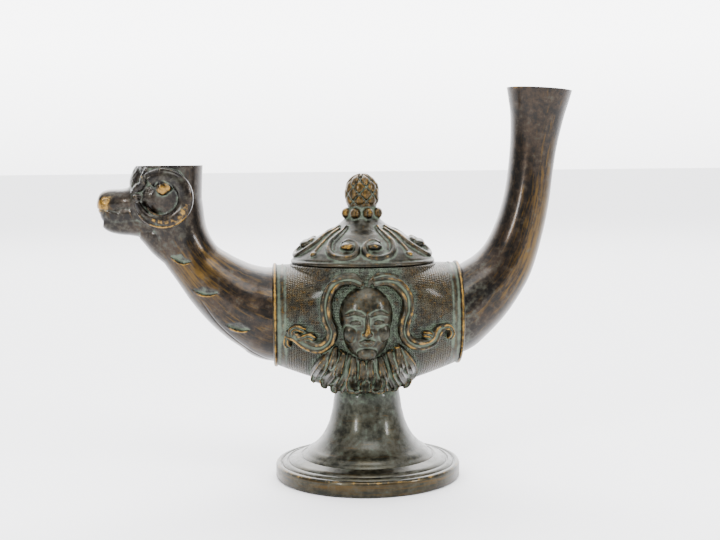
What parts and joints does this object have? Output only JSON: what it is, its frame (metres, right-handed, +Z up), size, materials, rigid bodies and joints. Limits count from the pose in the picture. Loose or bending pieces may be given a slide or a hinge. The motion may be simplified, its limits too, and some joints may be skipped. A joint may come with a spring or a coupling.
{
  "type": "ornamental bronze oil lamp",
  "caption": "Footed bronze oil lamp with a ram's-head spout, a masked reservoir, a tall curved horn and a lift-off domed lid with a pine-cone knob.",
  "frame": {"origin": "middle of the box that the lamp fills, on the surface it stands on; the foot's axis is 10.65 mm towards +X", "axes": "+X towards the tall horn, -X towards the ram's head, -Y the side that the mask faces, +Z up"},
  "size_m": [0.1804, 0.0715, 0.1487],
  "materials": {
    "lamp_body": "cast and chased bronze, dark brown patina, green in the hollows, rubbed gold on the high parts",
    "foot": "turned bronze, semi-gloss green-black and brown patina with rubbed rings",
    "lid": "cast bronze, grey-green patina with rubbed gold scrolls and beads"
  },
  "bodies": {
    "root": {"lamp_body": "lamp_body", "foot": "foot", "lid": "lid"}
  },
  "joints": []
}
